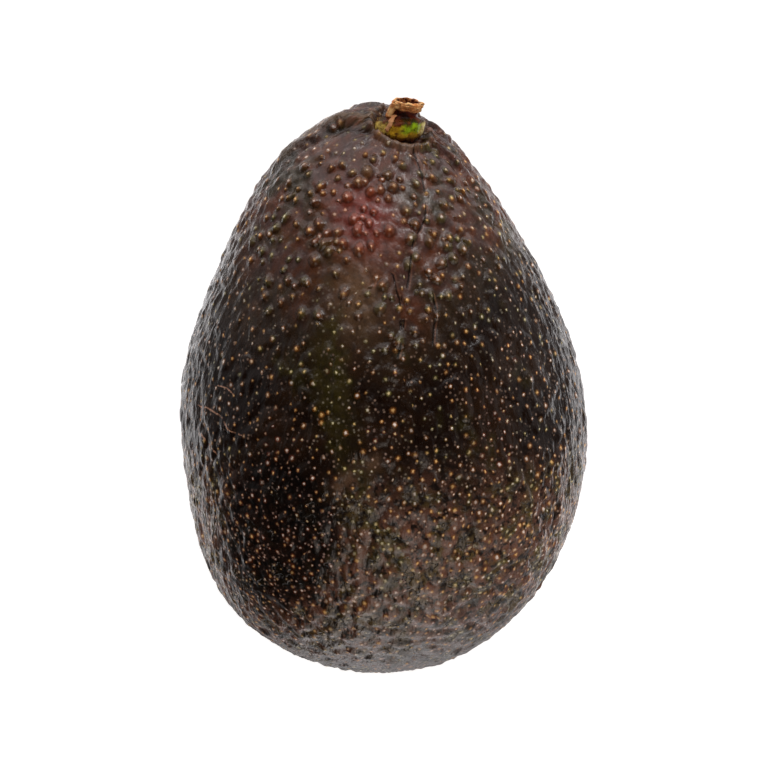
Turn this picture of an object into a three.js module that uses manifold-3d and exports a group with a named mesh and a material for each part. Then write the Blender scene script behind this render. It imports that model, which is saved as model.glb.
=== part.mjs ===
// A whole ripe avocado: the fruit with its dark pebbled skin, and the stub of stem that it was cut with.
// Millimetres, +Z up. The fruit lies on its side, stem end towards +Y, and rests on a small flat spot, whose
// middle is the origin.

import * as THREE from 'three';
import Module from 'manifold-3d';
import { ConvexGeometry } from 'three/addons/geometries/ConvexGeometry.js';
import { mergeVertices } from 'three/addons/utils/BufferGeometryUtils.js';

// ---------- driving dimensions ----------

// The egg: its own frame has +Y towards the stem end, and +Z up when the fruit lies with its axis level.
const HALF_LENGTH = 49.6;
const GIRTH_RADIUS = 34.5;
const TAPER = 0.218;            // how much narrower the stem half is than the blossom half
const SHOULDER_FULLNESS = 0.053;
const NECK_FULLNESS = 0.043;
const DEPTH_RATIO = 0.96;       // the fruit is a little flatter from top to bottom than from side to side
const NECK_LIFT = 4;            // the neck bends up towards the stem
const BEND = { linear: -1.5, square: -1.16, cube: 1.61, tip: -1.65 };  // sideways wander of the middle line
const LEFT_SWELLINGS = [{ size: 0.73, count: 6.41, start: 1.05 }];     // low swellings down the two flanks
const RIGHT_SWELLINGS = [{ size: 1.24, count: 3.77, start: 1.33 }];

// How it rests: the stem end is a little low, so that the weight stands over the flat spot.
const REST_TILT_DEG = -10;
const FLAT_SPOT = new THREE.Vector3(0, -3.7, -32.2);   // its middle, in the tilted fruit's frame

// The stem end: a raised shoulder, and on its upper side the dimple that the stem stands in.
const SHOULDER_PLACE = ballPlace(0.17, 0.06);
const SHOULDER_RISE = 2.5;
const SHOULDER_SPREAD = 0.3;    // radians on the unit ball
const STEM_PLACE = ballPlace(0.18, 0.22);
const DIMPLE_DEPTH = 2.2;
const DIMPLE_SPREAD = 0.15;

// Pebbles: domes in the upper half, fading to low ones near the blossom end.
const PEBBLES = 1900;
const PEBBLE_CROWDING = 0.3;    // pebbles stand closer towards the stem by this share
const PEBBLE_JITTER = 0.36;     // of the distance between neighbours
const PEBBLE_RISE = 0.42;
const PEBBLE_RISE_BLOSSOM = 0.2;
const VALLEY_DEPTH = 0.6;       // of the pebble's rise

// The stem stub.
const STEM_AXIS = new THREE.Vector3(0.244, 0.9575, 0.154).normalize();
const STEM_SIDES = 40;
const STEM_SUNK = 2.6;          // how far its root goes into the fruit
const COLLAR_RADIUS = 4.3;
const COLLAR_HEIGHT = 2.5;
const NECK_RADIUS = 2.55;
const RIM_RADIUS = 2.9;
const LIP_RADIUS = 2.45;
const STEM_HEIGHT = 5.7;
const HOLLOW_RADIUS = 1.8;
const HOLLOW_DEPTH = 1.2;
const COLLAR_LOBES = [          // as shares of its radius
  { size: 0.045, count: 5, start: 0.6 },
  { size: 0.03, count: 9, start: 2.1 },
];
const RIM_TEARS = [
  { size: 0.16, count: 7, start: 0 },
  { size: 0.12, count: 13, start: 1.2 },
  { size: 0.2, count: 1, start: 2.6 },
];
const RIM_FLUTES = [{ size: 0.04, count: 8, start: 0.5 }];      // as a share of its radius
const GAP = 0.3;                // clear space between the stem's root and the skin round it

const wasm = await Module();
wasm.setup();

// ---------- the skin's shape ----------

// A place on the stem half of the unit ball, from how far it is to the side and up.
function ballPlace(side, up) {
  return new THREE.Vector3(side, Math.sqrt(1 - side ** 2 - up ** 2), up);
}

// The sum of a few sine waves, read at one place along them.
function ripple(waves, place) {
  return waves.reduce((sum, wave) => sum + wave.size * Math.sin(wave.count * place + wave.start), 0);
}

// The plain egg: a point of the unit ball carried to the fruit's surface.
function eggPoint(ball) {
  const along = ball.y;
  const fullness = 1 - TAPER * along + SHOULDER_FULLNESS * along ** 2 + NECK_FULLNESS * along ** 3;
  const radius = GIRTH_RADIUS * fullness;
  const wander = along * (BEND.linear + BEND.square * along + BEND.cube * along ** 2 + BEND.tip * along ** 8);
  const lift = NECK_LIFT * Math.max(0, along) ** 2;
  const height = DEPTH_RATIO * radius * ball.z + lift;
  return new THREE.Vector3(radius * ball.x + wander, HALF_LENGTH * along, height);
}

// The egg's outward direction at that point, from two short steps on the ball.
function eggNormal(ball) {
  const step = 0.001;
  const pole = Math.abs(ball.y) < 0.9 ? new THREE.Vector3(0, 1, 0) : new THREE.Vector3(1, 0, 0);
  const first = new THREE.Vector3().crossVectors(pole, ball).normalize();
  const second = new THREE.Vector3().crossVectors(ball, first);
  const slope = (way) => {
    const ahead = ball.clone().addScaledVector(way, step).normalize();
    const behind = ball.clone().addScaledVector(way, -step).normalize();
    return eggPoint(ahead).sub(eggPoint(behind));
  };
  return slope(first).cross(slope(second)).normalize();
}

// Swellings on the two flanks, the shoulder round the stem and the dimple in it.
function swelling(ball) {
  const left = Math.max(0, -ball.x) ** 2 * ripple(LEFT_SWELLINGS, ball.y);
  const right = Math.max(0, ball.x) ** 2 * ripple(RIGHT_SWELLINGS, ball.y);
  const shoulder = SHOULDER_RISE * Math.exp(-((ball.angleTo(SHOULDER_PLACE) / SHOULDER_SPREAD) ** 2));
  const dimple = DIMPLE_DEPTH * Math.exp(-((ball.angleTo(STEM_PLACE) / DIMPLE_SPREAD) ** 2));
  return left + right + shoulder - dimple;
}

function tip(vector) {
  return vector.applyAxisAngle(new THREE.Vector3(1, 0, 0), THREE.MathUtils.degToRad(REST_TILT_DEG));
}

// A place on the skin of the fruit as it lies, raised by its relief.
function skinPoint(ball, relief = 0) {
  return tip(eggPoint(ball).addScaledVector(eggNormal(ball), swelling(ball) + relief)).sub(FLAT_SPOT);
}

// ---------- the pebbles ----------

// A fixed draw between 0 and 1 for each whole number and use.
function draw(index, use) {
  const value = Math.sin(index * 12.9898 + use * 78.233) * 43758.5453;
  return value - Math.floor(value);
}

// The share of pebbles on the blossom side of each latitude, so that they stand evenly on the egg's area.
function pebbleLatitudes() {
  const bands = 400;
  const edge = (band) => {
    const angle = Math.PI * band / bands;
    const point = eggPoint(new THREE.Vector3(Math.sin(angle), -Math.cos(angle), 0));
    const middle = eggPoint(new THREE.Vector3(0, -Math.cos(angle), 0));
    return { along: -Math.cos(angle), radius: point.x - middle.x, y: point.y };
  };
  const totals = [0];
  for (let band = 0; band < bands; band += 1) {
    const low = edge(band);
    const high = edge(band + 1);
    const slant = Math.hypot(high.radius - low.radius, high.y - low.y);
    const crowd = 1 + PEBBLE_CROWDING * (low.along + high.along) / 2;
    totals.push(totals[band] + slant * (low.radius + high.radius) * crowd);
  }
  return (share) => {
    const wanted = share * totals[bands];
    let band = 0;
    while (band < bands - 1 && totals[band + 1] < wanted) band += 1;
    const within = (wanted - totals[band]) / (totals[band + 1] - totals[band]);
    return -Math.cos(Math.PI * (band + within) / bands);
  };
}

// Pebble places on the unit ball: a golden-angle spiral, each one moved a little by a fixed draw.
function pebblePlaces() {
  const goldenAngle = Math.PI * (3 - Math.sqrt(5));
  const latitude = pebbleLatitudes();
  const spacing = Math.sqrt(4 * Math.PI / PEBBLES);
  const places = [];
  for (let index = 0; index < PEBBLES; index += 1) {
    const along = latitude((index + 0.5) / PEBBLES);
    const around = index * goldenAngle;
    const ring = Math.sqrt(1 - along ** 2);
    const place = new THREE.Vector3(ring * Math.cos(around), along, ring * Math.sin(around));
    const nudge = new THREE.Vector3(draw(index, 1) - 0.5, draw(index, 2) - 0.5, draw(index, 3) - 0.5);
    places.push(place.addScaledVector(nudge, 2 * PEBBLE_JITTER * spacing).normalize());
  }
  return places;
}

function pebbleRise(ball) {
  const fade = THREE.MathUtils.smoothstep(ball.y, -0.7, 0.3);
  return THREE.MathUtils.lerp(PEBBLE_RISE_BLOSSOM, PEBBLE_RISE, fade);
}

// ---------- closed bodies ----------

// Keeps only the places and the triangles that still have three different corners.
function closedBody(geometry) {
  const bare = geometry.clone();
  bare.deleteAttribute('normal');
  bare.deleteAttribute('uv');
  const merged = mergeVertices(bare, 0.0001);
  const corners = Array.from(merged.index.array);
  const kept = [];
  for (let at = 0; at < corners.length; at += 3) {
    const [a, b, c] = corners.slice(at, at + 3);
    if (a !== b && b !== c && c !== a) kept.push(a, b, c);
  }
  merged.setIndex(kept);
  return merged;
}

function toSolid(geometry) {
  const vertProperties = new Float32Array(geometry.attributes.position.array);
  const triVerts = new Uint32Array(geometry.index.array);
  return new wasm.Manifold(new wasm.Mesh({ numProp: 3, vertProperties, triVerts }));
}

function toGeometry(solid) {
  const mesh = solid.getMesh();
  const geometry = new THREE.BufferGeometry();
  geometry.setAttribute('position', new THREE.BufferAttribute(mesh.vertProperties, 3));
  geometry.setIndex(new THREE.BufferAttribute(mesh.triVerts, 1));
  return geometry;
}

// ---------- the fruit ----------

// Every pebble's top is joined to the low points between it and its neighbours: each pebble is a small hump.
function pebbledSkin() {
  const hull = closedBody(new ConvexGeometry(pebblePlaces()));
  const position = hull.attributes.position;
  const corners = hull.index.array;
  const tops = position.count;
  const balls = [];
  for (let at = 0; at < tops; at += 1) balls.push(new THREE.Vector3().fromBufferAttribute(position, at));
  const points = balls.map((ball) => skinPoint(ball, pebbleRise(ball)));

  const valleyBeyond = new Map();     // the valley on the left of each directed edge
  for (let at = 0; at < corners.length; at += 3) {
    const [a, b, c] = corners.slice(at, at + 3);
    const ball = balls[a].clone().add(balls[b]).add(balls[c]).normalize();
    const valley = points.push(skinPoint(ball, -VALLEY_DEPTH * pebbleRise(ball))) - 1;
    for (const [from, to] of [[a, b], [b, c], [c, a]]) valleyBeyond.set(from * tops + to, valley);
  }

  const triangles = [];
  for (const [edge, valley] of valleyBeyond) {
    const from = Math.floor(edge / tops);
    const to = edge % tops;
    triangles.push(from, valleyBeyond.get(to * tops + from), valley);
  }

  for (const point of points) point.z = Math.max(0, point.z);
  const geometry = new THREE.BufferGeometry().setFromPoints(points);
  geometry.setIndex(triangles);
  return geometry;
}

// ---------- the stem stub ----------

// Half section of the stub from its root up: radius, and height above the skin. grow makes it fatter.
function stemSection(grow = 0) {
  const section = [
    [0, -STEM_SUNK - grow],
    [COLLAR_RADIUS - 1.1 + grow, -STEM_SUNK - grow],
    [COLLAR_RADIUS - 0.5 + grow, -0.9],
    [COLLAR_RADIUS - 0.15 + grow, 0],
    [COLLAR_RADIUS + grow, 0.8],
    [COLLAR_RADIUS - 0.1 + grow, 1.5],
    [COLLAR_RADIUS - 0.55 + grow, COLLAR_HEIGHT - 0.3],
    [NECK_RADIUS + 0.6 + grow, COLLAR_HEIGHT + grow],
    [NECK_RADIUS + grow, COLLAR_HEIGHT + 0.5],
    [NECK_RADIUS + grow, COLLAR_HEIGHT + 1.3],
    [RIM_RADIUS + grow, COLLAR_HEIGHT + 1.9],
    [RIM_RADIUS - 0.1 + grow, COLLAR_HEIGHT + 2.5],
    [LIP_RADIUS + grow, STEM_HEIGHT + grow],
    [HOLLOW_RADIUS + 0.2, STEM_HEIGHT - 0.1 + grow],
    [HOLLOW_RADIUS - 0.2, STEM_HEIGHT - HOLLOW_DEPTH + grow],
    [0, STEM_HEIGHT - HOLLOW_DEPTH - 0.2 + grow],
  ];
  return section.map(([radius, height]) => new THREE.Vector2(radius, height));
}

// The stub as grown: a lobed collar, and a torn rim that stands higher on one side.
function stemStub() {
  const geometry = closedBody(new THREE.LatheGeometry(stemSection(), STEM_SIDES));
  const position = geometry.attributes.position;
  const ramp = THREE.MathUtils.smoothstep;
  for (let at = 0; at < position.count; at += 1) {
    const point = new THREE.Vector3().fromBufferAttribute(position, at);
    const around = Math.atan2(point.z, point.x);
    const aboveCollar = ramp(point.y, COLLAR_HEIGHT - 0.2, COLLAR_HEIGHT + 0.6);
    const onCollar = ramp(point.y, -0.5, 0.5) * (1 - aboveCollar);
    const atRim = ramp(point.y, STEM_HEIGHT - 1.4, STEM_HEIGHT - 0.1);
    const spread = 1 + onCollar * ripple(COLLAR_LOBES, around) + atRim * ripple(RIM_FLUTES, around);
    position.setXYZ(at, point.x * spread, point.y + atRim * ripple(RIM_TEARS, around), point.z * spread);
  }
  return geometry;
}

// ---------- the assembly ----------

function skinMaterial() {
  return new THREE.MeshStandardMaterial({ color: 0x3a2522, roughness: 0.42, metalness: 0 });
}

function stemMaterial() {
  return new THREE.MeshStandardMaterial({ color: 0x6f6a34, roughness: 0.6, metalness: 0 });
}

const avocado = new THREE.Group();
avocado.name = 'avocado';

const stem = new THREE.Mesh(stemStub(), stemMaterial());
stem.name = 'stem';
stem.position.copy(skinPoint(STEM_PLACE));
stem.quaternion.setFromUnitVectors(new THREE.Vector3(0, 1, 0), tip(STEM_AXIS.clone()));
stem.updateMatrix();

const socket = closedBody(new THREE.LatheGeometry(stemSection(GAP), STEM_SIDES)).applyMatrix4(stem.matrix);
const fruit = new THREE.Mesh(toGeometry(toSolid(pebbledSkin()).subtract(toSolid(socket))), skinMaterial());
fruit.name = 'fruit';

avocado.add(fruit, stem);

export default avocado;
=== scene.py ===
"""The looks of a whole ripe avocado: dark pebbled skin with small pale dots, and the torn stub of its stem.

Shapes are worked out in millimetres and scaled to metres when a mesh is made. The fruit lies on its
side with its stem end towards +Y. The camera looks down on it, and "seen" places are millimetres right
of and above the picture's middle.
"""

import math

import bmesh
import bpy
import numpy as np
from mathutils import Matrix, Vector, kdtree, noise


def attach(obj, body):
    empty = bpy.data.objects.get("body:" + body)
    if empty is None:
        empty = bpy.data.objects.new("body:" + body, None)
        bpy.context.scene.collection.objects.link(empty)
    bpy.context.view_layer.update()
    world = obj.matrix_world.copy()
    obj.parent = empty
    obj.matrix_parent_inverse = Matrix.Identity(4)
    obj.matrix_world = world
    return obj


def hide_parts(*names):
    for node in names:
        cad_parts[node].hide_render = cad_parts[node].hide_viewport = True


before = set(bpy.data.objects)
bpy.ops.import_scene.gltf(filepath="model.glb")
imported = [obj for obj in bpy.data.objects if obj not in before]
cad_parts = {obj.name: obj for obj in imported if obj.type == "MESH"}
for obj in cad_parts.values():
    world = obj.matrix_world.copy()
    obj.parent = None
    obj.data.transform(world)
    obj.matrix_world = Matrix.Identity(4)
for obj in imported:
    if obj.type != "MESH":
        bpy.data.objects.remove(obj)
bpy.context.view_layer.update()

MM = 0.001

# --- the solids' own dimensions, mm ---

HALF_LENGTH = 49.6
GIRTH_RADIUS = 34.5
TAPER = 0.218
SHOULDER_FULLNESS = 0.053
NECK_FULLNESS = 0.043
DEPTH_RATIO = 0.96
NECK_LIFT = 4.0
BEND = {"linear": -1.5, "square": -1.16, "cube": 1.61, "tip": -1.65}
LEFT_SWELLING = {"size": 0.73, "count": 6.41, "start": 1.05}
RIGHT_SWELLING = {"size": 1.24, "count": 3.77, "start": 1.33}
REST_TILT_DEG = -10
FLAT_SPOT = np.array([0, -3.7, -32.2])
SHOULDER_RISE = 2.5
SHOULDER_SPREAD = 0.3
DIMPLE_DEPTH = 2.2
DIMPLE_SPREAD = 0.15
PEBBLES = 1900
PEBBLE_CROWDING = 0.3
PEBBLE_JITTER = 0.36
STEM_AXIS = Vector((0.244, 0.9575, 0.154)).normalized()
STEM_SUNK = 2.6
COLLAR_RADIUS = 4.3
COLLAR_HEIGHT = 2.5
NECK_RADIUS = 2.55
RIM_RADIUS = 2.9
LIP_RADIUS = 2.45
STEM_HEIGHT = 5.7
HOLLOW_RADIUS = 1.8
HOLLOW_DEPTH = 1.2

# --- the camera ---

CAMERA_LEAN_DEG = 21  # from straight above towards the stem end
CAMERA_DISTANCE = 510.0  # mm
FIELD_WIDTH = 135.5  # mm across the picture at that distance
SENSOR_WIDTH = 36.0
AIM = Vector((0.55, 5.28, 31.6))

LEAN = math.radians(CAMERA_LEAN_DEG)
TOWARDS_CAMERA = Vector((0, math.sin(LEAN), math.cos(LEAN)))
PICTURE_UP = Vector((0, math.cos(LEAN), -math.sin(LEAN)))

# --- the skin's finer forms, mm ---

SUBDIVISIONS = 2
SITES = 3 * PEBBLES - 4  # the pebbles and the valleys between them
BEAD_RISE = 0.5
BEAD_RADIUS = (0.6, 1.2)
SMALL_BEAD_RADIUS = (0.4, 0.85)
SMALL_BEAD_SHARE = 0.22  # of the valleys
BEAD_STRETCH = 0.45  # how much longer than wide a bead may be
NO_BEAD = 2.5  # radii from a bead's top, where none is near
HUMP_RISE = 0.35
LOBE_RISE = 0.5
LOBE_WIDTH = 3.2
RIDGE_RISE = 0.11  # of the long narrow bumps on the flanks
RIDGE_WIDTH = 1.15
RIPPLE_RISE = 0.1
RIPPLE_WIDTH = 1.6
DOT_SPACING = (2.0, 1.1)  # at least, near the stem and near the blossom end
SITE_DOT_SPACING = 1.1  # at least, between beads' own dots
DOT_CELL = 3.2  # of the grid in which near dots are looked for
DOT_RADIUS = (0.18, 0.33)
# the beads' own pale dots, larger so that they also serve as painted highlights
BEAD_DOT_AND_HIGHLIGHT_RADIUS = (0.2, 0.36)
BLOSSOM_PLACE = np.array([0, -1, 0])
BLOSSOM_SPREAD = 0.042
BLOSSOM_DEPTH = 0.5
WRINKLES = 16  # round the stem
WRINKLE_RISE = 0.3
LIP_RISE = 0.8  # of the skin that stands round the stem's foot
CREVICE_DEPTH = 0.35  # between that lip and the stem
FOLD_RISE = 0.8  # along the left shoulder
UNDER_FOLD_DEPTH = 0.4
GROOVE_DEPTH = 0.3
PIT_DEPTH = 0.2


def ramp(value, low, high):
    """0 below low, 1 above high, smooth between."""
    share = np.clip((value - low) / (high - low), 0, 1)
    return share * share * (3 - 2 * share)


def mix(first, second, share):
    return first + (second - first) * share


def unit(vectors):
    return vectors / np.linalg.norm(vectors, axis=-1, keepdims=True)


def draw(index, use):
    """A fixed draw between 0 and 1 for each whole number and use."""
    value = np.sin(np.asarray(index, float) * 12.9898 + use * 78.233) * 43758.5453
    return value - np.floor(value)


def noise_at(points, size, seed=0.0, stretch=(1, 1, 1)):
    """Smooth noise of about -1 to 1, size mm across and longer along an axis by its stretch."""
    scaled = points / (size * np.array(stretch)) + seed
    return np.array([noise.noise(Vector(place)) for place in scaled])


# --- the skin's shape, as the solid has it ---


def ball_place(side, up):
    return np.array([side, math.sqrt(1 - side**2 - up**2), up])


SHOULDER_PLACE = ball_place(0.17, 0.06)
STEM_PLACE = ball_place(0.18, 0.22)


def egg_points(ball):
    """Points of the unit ball carried to the plain egg."""
    along = ball[..., 1]
    radius = GIRTH_RADIUS * (1 - TAPER * along + SHOULDER_FULLNESS * along**2 + NECK_FULLNESS * along**3)
    bends = BEND["linear"] + BEND["square"] * along + BEND["cube"] * along**2 + BEND["tip"] * along**8
    side = radius * ball[..., 0] + along * bends
    height = DEPTH_RATIO * radius * ball[..., 2] + NECK_LIFT * np.maximum(0, along) ** 2
    return np.stack([side, HALF_LENGTH * along, height], -1)


def egg_normals(ball):
    step = 0.001
    near_pole = np.abs(ball[..., 1:2]) >= 0.9
    pole = np.where(near_pole, np.array([1.0, 0, 0]), np.array([0, 1.0, 0]))
    first = unit(np.cross(pole, ball))
    second = np.cross(ball, first)

    def slope(way):
        return egg_points(unit(ball + step * way)) - egg_points(unit(ball - step * way))

    return unit(np.cross(slope(first), slope(second)))


def angle_to(ball, place):
    return np.arccos(np.clip(ball @ place, -1, 1))


def ripple(wave, place):
    return wave["size"] * np.sin(wave["count"] * place + wave["start"])


def swelling(ball):
    left = np.maximum(0, -ball[..., 0]) ** 2 * ripple(LEFT_SWELLING, ball[..., 1])
    right = np.maximum(0, ball[..., 0]) ** 2 * ripple(RIGHT_SWELLING, ball[..., 1])
    shoulder = SHOULDER_RISE * np.exp(-((angle_to(ball, SHOULDER_PLACE) / SHOULDER_SPREAD) ** 2))
    dimple = DIMPLE_DEPTH * np.exp(-((angle_to(ball, STEM_PLACE) / DIMPLE_SPREAD) ** 2))
    return left + right + shoulder - dimple


def tipped(vectors):
    """Vectors of the upright egg as the fruit lies."""
    return vectors @ np.array(Matrix.Rotation(math.radians(REST_TILT_DEG), 3, "X")).T


def skin_points(ball, relief=0.0):
    """Places on the skin of the fruit as it lies, raised by their relief."""
    rise = swelling(ball) + relief
    return tipped(egg_points(ball) + egg_normals(ball) * rise[..., None]) - FLAT_SPOT


# --- the pebbles' places ---


def pebble_latitudes():
    """Gives the latitude below which a share of the pebbles lies, by the egg's own area."""
    bands = 400
    angle = np.pi * np.arange(bands + 1) / bands
    zero = np.zeros_like(angle)
    side = egg_points(np.stack([np.sin(angle), -np.cos(angle), zero], -1))
    middle = egg_points(np.stack([zero, -np.cos(angle), zero], -1))
    radius = side[:, 0] - middle[:, 0]
    slant = np.hypot(np.diff(radius), np.diff(side[:, 1]))
    crowd = 1 + PEBBLE_CROWDING * (-np.cos(angle[:-1]) - np.cos(angle[1:])) / 2
    totals = np.concatenate([[0], np.cumsum(slant * (radius[:-1] + radius[1:]) * crowd)])
    return lambda share: -np.cos(np.interp(share * totals[-1], totals, angle))


def pebble_places():
    """The pebbles' places on the unit ball, as a jittered spiral."""
    golden_angle = math.pi * (3 - math.sqrt(5))
    index = np.arange(PEBBLES)
    along = pebble_latitudes()((index + 0.5) / PEBBLES)
    ring = np.sqrt(1 - along**2)
    around = index * golden_angle
    place = np.stack([ring * np.cos(around), along, ring * np.sin(around)], -1)
    nudge = np.stack([draw(index, use) - 0.5 for use in (1, 2, 3)], -1)
    return unit(place + nudge * 2 * PEBBLE_JITTER * math.sqrt(4 * math.pi / PEBBLES))


# --- a fine mesh on the unit ball ---


def hull_triangles(points):
    """The triangles of the hull of points on a ball, facing out."""
    bm = bmesh.new()
    for point in points:
        bm.verts.new(point)
    bm.verts.index_update()
    bmesh.ops.convex_hull(bm, input=bm.verts, use_existing_faces=False)
    bmesh.ops.triangulate(bm, faces=bm.faces)
    triangles = np.array([[vert.index for vert in face.verts] for face in bm.faces])
    bm.free()
    a, b, c = points[triangles.T]
    inward = np.einsum("ij,ij->i", np.cross(b - a, c - a), a) < 0
    triangles[inward] = triangles[inward][:, ::-1]
    return triangles


def add_valleys(points, triangles):
    """Puts a point in each triangle, joined to its corners and its neighbours' points."""
    count = len(points)
    middles = unit(points[triangles].mean(axis=1))
    left_of = {}
    for face, (a, b, c) in enumerate(triangles):
        for start, end in ((a, b), (b, c), (c, a)):
            left_of[start, end] = count + face
    joined = [(start, left_of[end, start], valley) for (start, end), valley in left_of.items()]
    return np.concatenate([points, middles]), np.array(joined)


def halve_edges(points, triangles):
    """Splits each triangle into four."""
    sides = [triangles[:, pair] for pair in ([0, 1], [1, 2], [2, 0])]
    edges = np.sort(np.concatenate(sides), axis=1)
    unique, place = np.unique(edges, axis=0, return_inverse=True)
    ab, bc, ca = place.reshape(3, -1) + len(points)
    points = np.concatenate([points, unit(points[unique].mean(axis=1))])
    a, b, c = triangles.T
    quarters = ((a, ab, ca), (ab, b, bc), (ca, bc, c), (ab, bc, ca))
    return points, np.concatenate([np.stack(corners, -1) for corners in quarters])


def fine_ball():
    """Points and triangles of the unit ball: the pebbles come first, then the valleys between them."""
    places = pebble_places()
    points, triangles = add_valleys(places, hull_triangles(places))
    for _ in range(SUBDIVISIONS):
        points, triangles = halve_edges(points, triangles)
    return points, triangles


# --- nearest places ---


def tree_of(points):
    tree = kdtree.KDTree(len(points))
    for index, point in enumerate(points):
        tree.insert(point, index)
    tree.balance()
    return tree


def nearest_two(tree, points):
    """Index and distance of the nearest place, and distance of the second nearest."""
    found = [tree.find_n(point, 2) for point in points]
    index = np.array([nearest[1] for nearest, _ in found])
    return index, *np.array([[place[2] for place in pair] for pair in found]).T


def side_of_path(points, path):
    """Distance from flat points to a broken line, less than 0 on its right."""
    best = np.full(len(points), np.inf)
    for start, end in zip(path[:-1], path[1:]):
        way = np.subtract(end, start)
        offset = points - np.array(start)
        share = np.clip((offset @ way) / (way @ way), 0, 1)
        distance = np.linalg.norm(offset - share[:, None] * way, axis=1)
        turn = way[0] * offset[:, 1] - way[1] * offset[:, 0]
        best = np.where(distance < np.abs(best), np.where(turn < 0, -distance, distance), best)
    return best


def seen_from_camera(points):
    """The points' seen places, mm."""
    offset = points - np.array(AIM)
    nearer = CAMERA_DISTANCE / (CAMERA_DISTANCE - offset @ np.array(TOWARDS_CAMERA))
    return np.stack([offset[:, 0] * nearer, offset @ np.array(PICTURE_UP) * nearer], -1)


# --- marks at seen places: ovals by middle and size, and lines ---

BLUSH = ((-3.6, 29.5), (5.6, 6.6))
# Painted sheen: a lighter patch of skin in the middle that stands in for the sheen there.
SHEEN_PATCH = ((-4.6, 16.5), (4.6, 7.5))
OLIVE_STREAK = ((-9.0, 3.0), (4.0, 21.0))
DARK_FLANK = ((-18.5, -26.5), (11.0, 14.0))
GROOVES = [
    [(5.3, 41.0), (6.6, 36.8), (7.4, 32.6), (7.2, 29.8), (5.6, 25.6), (4.4, 21.0), (3.9, 14.0), (3.5, 9.5)],
    [(7.9, 19.0), (8.6, 15.5), (9.0, 11.5), (8.4, 7.0)],
    [(1.6, 19.5), (3.0, 15.0), (2.9, 8.0), (2.3, 3.5)],
]
PITS = [(-1.5, 17.9), (12.6, 18.0), (4.8, 22.6)]
PIT_SIZE = (0.9, 0.9)
SCRATCHES = [
    [(-29.5, -0.2), (-27.9, -0.7), (-26.7, -1.8), (-25.9, -4.4)],
    [(-32.3, -3.9), (-31.3, -4.1), (-29.8, -5.2), (-28.6, -6.1), (-27.4, -8.1), (-25.4, -9.0)],
    [(-32.1, -4.4), (-32.3, -6.5), (-32.8, -8.1), (-31.8, -9.5), (-30.0, -12.0)],
]
SMEAR = [(-8.4, -18.4), (-5.6, -15.8), (-1.4, -13.6)]
# Painted shadow: a dark oval beside the stem on its right, put into the skin's colour only, not its shape.
SHADOW_BY_STEM = ((7.9, 46.0), (1.2, 1.0))
SHOULDER_FOLD = [(-2.4, 46.2), (-5.0, 46.7), (-8.5, 46.6), (-12.0, 45.4), (-15.5, 43.0), (-20.0, 38.5)]


# --- the fruit ---


class Skin:
    """The fine mesh's points with what the relief and the marks are worked out from."""

    def __init__(self):
        self.ball, self.triangles = fine_ball()
        self.plain = skin_points(self.ball)
        self.normals = tipped(egg_normals(self.ball))
        self.along = self.ball[:, 1]
        self.seen = seen_from_camera(self.plain)
        towards = self.normals @ np.array(TOWARDS_CAMERA)
        self.facing = ramp(towards, 0.05, 0.35)
        self.turned_up = ramp(towards, 0.3, 0.75)
        self.warp = np.stack([self.noise(5.0, seed) for seed in (31.0, 47.0, 63.0)], -1)
        self.uneven = self.noise(1.1, 77.0)
        wander = self.noise(14.0, 3.0)
        patchy = self.along + 0.14 * wander + 0.08 * self.noise(5.0, 41.0)
        uphill = 0.1 * ((self.seen[:, 0] + 4.0) / 20.0) ** 2 + 0.03 * ramp(self.seen[:, 0], 0.0, 14.0)
        self.stem_half = ramp(self.along + 0.14 * wander - uphill, 0.03, 0.52)
        self.neck = ramp(patchy - uphill, 0.1, 0.6)
        self.blossom_end = ramp(-self.along, 0.62, 0.9)

    def noise(self, size, seed, stretch=(1, 1, 1)):
        return noise_at(self.plain, size, seed, stretch)

    def mark(self, middle, size):
        """1 in the middle of an oval mark, falling softly to 0."""
        offset = (self.seen - np.array(middle)) / np.array(size)
        return np.exp(-(offset**2).sum(axis=1)) * self.facing

    def side(self, paths, wander=0.0):
        """Distance in mm from the nearest of the broken lines, less than 0 on its right."""
        seen = self.seen + wander * self.warp[:, :2]
        sides = np.array([side_of_path(seen, path) for path in paths])
        return np.take_along_axis(sides, np.abs(sides).argmin(axis=0)[None], axis=0)[0]

    def near(self, side, width):
        """1 on broken lines, falling to 0 about width mm beside them."""
        return np.exp(-((side / width) ** 2)) * self.facing


def beads_on(skin, sites, radii, use):
    """Distance to the nearest bead's top as a share of its radius, and its size and number."""
    bead, _, _ = nearest_two(tree_of(sites), skin.plain)
    size = np.clip(1.15 * draw(bead, use) - 0.1, 0, 1)
    offset = skin.plain - sites[bead]
    lengthwise = unit(np.array([0, 1.0, 0]) - skin.normals * skin.normals[:, 1:2])
    turn = 1.6 * (draw(bead, use + 1) - 0.5)
    down = np.einsum("ij,ij->i", offset, lengthwise)
    across = np.einsum("ij,ij->i", offset, np.cross(skin.normals, lengthwise))
    down, across = down * np.cos(turn) + across * np.sin(turn), across * np.cos(turn) - down * np.sin(turn)
    stretch = 1 + BEAD_STRETCH * draw(bead, use + 2)
    reach = np.hypot(down / stretch, across) / mix(*radii, size)
    return reach * (1 + 0.3 * skin.uneven), size, bead


def dome(reach):
    """A round top with a soft foot."""
    return np.clip(1 - reach**2, 0, 1) ** 1.15


def small_bead_sites():
    """Numbers of the valley points that carry a small bead."""
    valleys = np.arange(PEBBLES, SITES)
    return valleys[draw(valleys, 12) < SMALL_BEAD_SHARE]


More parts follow.
